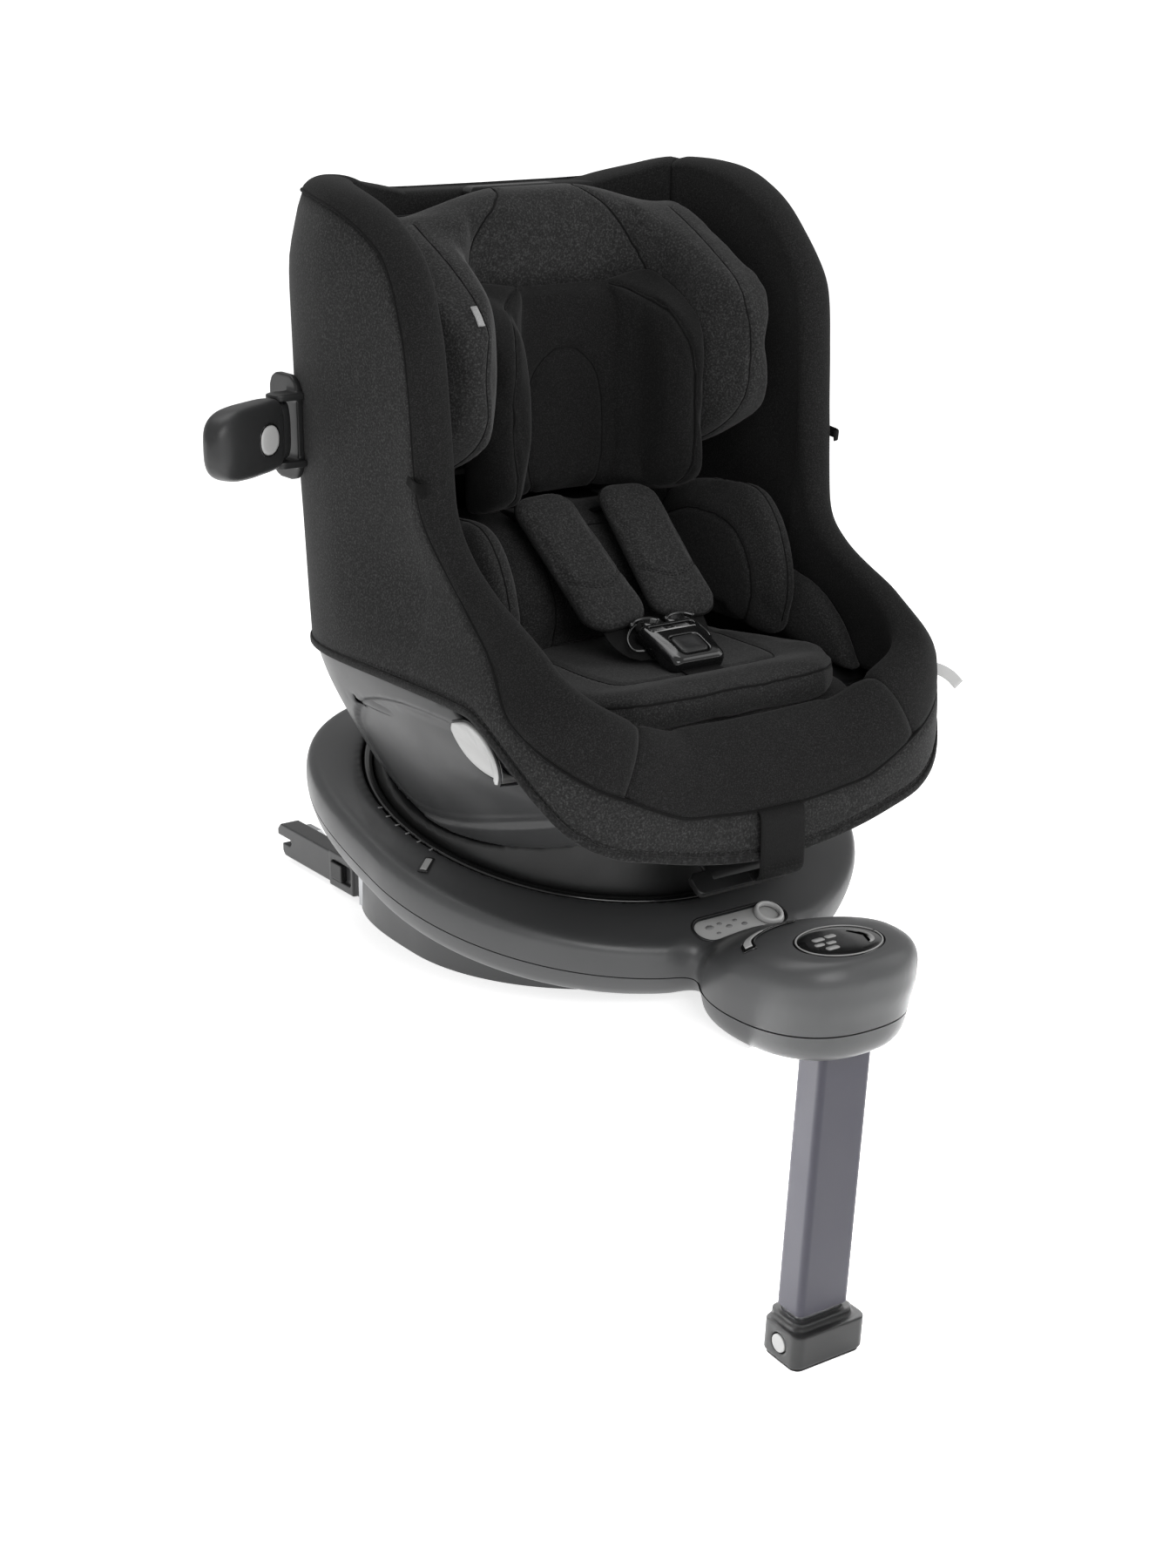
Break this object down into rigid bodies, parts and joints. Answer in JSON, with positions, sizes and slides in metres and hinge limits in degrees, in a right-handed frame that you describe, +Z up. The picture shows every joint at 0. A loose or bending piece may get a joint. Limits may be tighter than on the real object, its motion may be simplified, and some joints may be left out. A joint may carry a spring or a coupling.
{
  "type": "convertible car seat",
  "caption": "Child car seat with padded bucket, harness, winged headrest and side pods, spinning and reclining on a tilted base with support leg and anchor arms.",
  "frame": {"origin": "on the plane of the base's flat underside, where the turntable's tilted axis meets it", "axes": "+Z up from the underside, the child faces -Y, +X towards the child's left; the seat is mirror-symmetric about X apart from the side pods' rest positions"},
  "size_m": [0.6023, 0.695, 0.9528],
  "materials": {
    "base_plastic": "fine moulded grain, dark grey",
    "grey_plastic": "satin moulded mid-grey",
    "steel": "zinc-plated, satin",
    "leg_paint": "satin powder coat, bluish grey",
    "black_plastic": "fine grain, black",
    "gloss_black": "polished black",
    "light_plastic": "smooth light grey",
    "rubber": "ribbed, matte",
    "melange_fabric": "charcoal melange knit over foam",
    "black_fabric": "smooth black knit over foam",
    "webbing": "tight woven black webbing"
  },
  "bodies": {
    "base": {"base_lower_shell": "base_plastic", "base_upper_shell": "base_plastic", "bearing_ring": "steel", "leg_bracket": "steel", "leg_hinge_pin": "steel", "control_panel": "black_plastic", "indicator_lenses": "light_plastic", "mode_plate": "light_plastic", "isofix_guide_rails": "steel", "base_screws": "steel"},
    "leg": {"leg_outer_tube": "leg_paint", "leg_knuckle": "black_plastic"},
    "leg_inner": {"leg_inner_tube": "steel", "leg_foot": "black_plastic", "foot_sole": "rubber"},
    "foot_button": {"foot_button": "light_plastic"},
    "isofix_carriage": {"isofix_arm_right": "grey_plastic", "isofix_arm_left": "grey_plastic", "isofix_crossbar": "steel"},
    "hook_right": {"isofix_hook_right": "steel"},
    "hook_left": {"isofix_hook_left": "steel"},
    "release_right": {"isofix_release_right": "grey_plastic"},
    "release_left": {"isofix_release_left": "grey_plastic"},
    "direction_slider": {"direction_slider": "light_plastic"},
    "turntable": {"turntable_platform": "grey_plastic", "turntable_spindle": "steel"},
    "bucket": {"seat_bowl": "grey_plastic", "seat_shell": "black_plastic", "outer_cover": "melange_fabric", "rim_pad_right": "black_fabric", "rim_pad_left": "black_fabric", "front_lip_pad": "black_fabric", "back_liner": "black_fabric", "seat_base_pad": "black_fabric", "seat_cushion": "black_fabric", "back_insert": "black_fabric", "bolster_right": "black_fabric", "bolster_left": "black_fabric", "harness_webbing": "webbing", "shoulder_pad_right": "melange_fabric", "shoulder_pad_left": "melange_fabric", "crotch_strap": "webbing", "buckle": "gloss_black", "buckle_tongues": "gloss_black", "adjuster_strap": "webbing", "harness_adjuster": "steel", "pod_collars": "black_plastic"},
    "buckle_button": {"buckle_button": "gloss_black"},
    "adjuster_button": {"adjuster_button": "black_plastic"},
    "headrest": {"headrest_frame": "black_plastic", "headrest_pad": "melange_fabric", "head_insert": "black_fabric"},
    "headrest_lever": {"headrest_lever": "light_plastic"},
    "pod_right": {"pod_right": "black_plastic"},
    "pod_left": {"pod_left": "black_plastic"},
    "pod_button_right": {"pod_button_right": "light_plastic"},
    "pod_button_left": {"pod_button_left": "light_plastic"},
    "spin_button_right": {"spin_button_right": "light_plastic"},
    "spin_button_left": {"spin_button_left": "light_plastic"},
    "recline_handle": {"recline_handle": "light_plastic"}
  },
  "joints": [
    {"name": "leg_fold", "type": "hinge", "parent": "base", "child": "leg", "pos_m": [0, -0.384, 0.034], "axis": [-1, 0, 0], "range_deg": [-85.4, 0]},
    {"name": "leg_extend", "type": "slide", "parent": "leg", "child": "leg_inner", "axis": [0, 0.0802, -0.9968], "range_m": [0, 0.15]},
    {"name": "foot_button_press", "type": "slide", "parent": "leg_inner", "child": "foot_button", "axis": [1, 0, 0], "range_m": [0, 0.0035], "stiffness_N_per_m": 400},
    {"name": "isofix_extend", "type": "slide", "parent": "base", "child": "isofix_carriage", "axis": [0, 1, 0], "range_m": [-0.1, 0]},
    {"name": "release_right_slide", "type": "slide", "parent": "isofix_carriage", "child": "release_right", "axis": [0, -1, 0], "range_m": [0, 0.012], "stiffness_N_per_m": 300},
    {"name": "release_left_slide", "type": "slide", "parent": "isofix_carriage", "child": "release_left", "axis": [0, -1, 0], "range_m": [0, 0.012], "stiffness_N_per_m": 300},
    {"name": "hook_right_open", "type": "hinge", "parent": "isofix_carriage", "child": "hook_right", "pos_m": [-0.14, 0.212, 0.02], "axis": [1, 0, 0], "range_deg": [0, 30]},
    {"name": "hook_left_open", "type": "hinge", "parent": "isofix_carriage", "child": "hook_left", "pos_m": [0.14, 0.212, 0.02], "axis": [1, 0, 0], "range_deg": [0, 30]},
    {"name": "direction_slide", "type": "slide", "parent": "base", "child": "direction_slider", "axis": [-1, 0, 0], "range_m": [0, 0.06]},
    {"name": "seat_spin", "type": "hinge", "parent": "base", "child": "turntable", "pos_m": [0, -0.03564, 0.133], "axis": [0, -0.2588, 0.9659], "continuous": true},
    {"name": "recline", "type": "hinge", "parent": "turntable", "child": "bucket", "pos_m": [0, -0.12294, 0.42019], "axis": [-1, 0, 0], "range_deg": [0, 18]},
    {"name": "buckle_press", "type": "slide", "parent": "bucket", "child": "buckle_button", "axis": [0, 0.3746, -0.9272], "range_m": [0, 0.0045], "stiffness_N_per_m": 400},
    {"name": "adjuster_press", "type": "slide", "parent": "bucket", "child": "adjuster_button", "axis": [0, 1, 0], "range_m": [0, 0.003], "stiffness_N_per_m": 400},
    {"name": "headrest_height", "type": "slide", "parent": "bucket", "child": "headrest", "axis": [0, 0, 1], "range_m": [0, 0.15]},
    {"name": "headrest_lever_press", "type": "slide", "parent": "headrest", "child": "headrest_lever", "axis": [0, 0, -1], "range_m": [0, 0.006], "stiffness_N_per_m": 400},
    {"name": "pod_right_fold", "type": "hinge", "parent": "bucket", "child": "pod_right", "pos_m": [-0.243, 0.058, 0.452], "axis": [0, 0, -1], "range_deg": [-56, 0]},
    {"name": "pod_left_fold", "type": "hinge", "parent": "bucket", "child": "pod_left", "pos_m": [0.243, 0.058, 0.452], "axis": [0, 0, 1], "range_deg": [0, 56]},
    {"name": "pod_button_right_press", "type": "slide", "parent": "pod_right", "child": "pod_button_right", "axis": [-0.5, 0.866, 0], "range_m": [0, 0.003], "stiffness_N_per_m": 400},
    {"name": "pod_button_left_press", "type": "slide", "parent": "pod_left", "child": "pod_button_left", "axis": [0.9976, 0.0698, 0], "range_m": [0, 0.003], "stiffness_N_per_m": 400},
    {"name": "spin_button_right_press", "type": "slide", "parent": "bucket", "child": "spin_button_right", "axis": [0.9272, 0.3618, 0.097], "range_m": [0, 0.004], "stiffness_N_per_m": 400},
    {"name": "spin_button_left_press", "type": "slide", "parent": "bucket", "child": "spin_button_left", "axis": [-0.9272, 0.3618, 0.097], "range_m": [0, 0.004], "stiffness_N_per_m": 400},
    {"name": "recline_handle_pull", "type": "slide", "parent": "bucket", "child": "recline_handle", "axis": [0, -0.788, -0.6157], "range_m": [0, 0.008], "stiffness_N_per_m": 500}
  ],
  "couplings": [
    {"joint": "hook_right_open", "follows": "release_right_slide", "rad_per_m": 43.632},
    {"joint": "hook_left_open", "follows": "release_left_slide", "rad_per_m": 43.632}
  ]
}
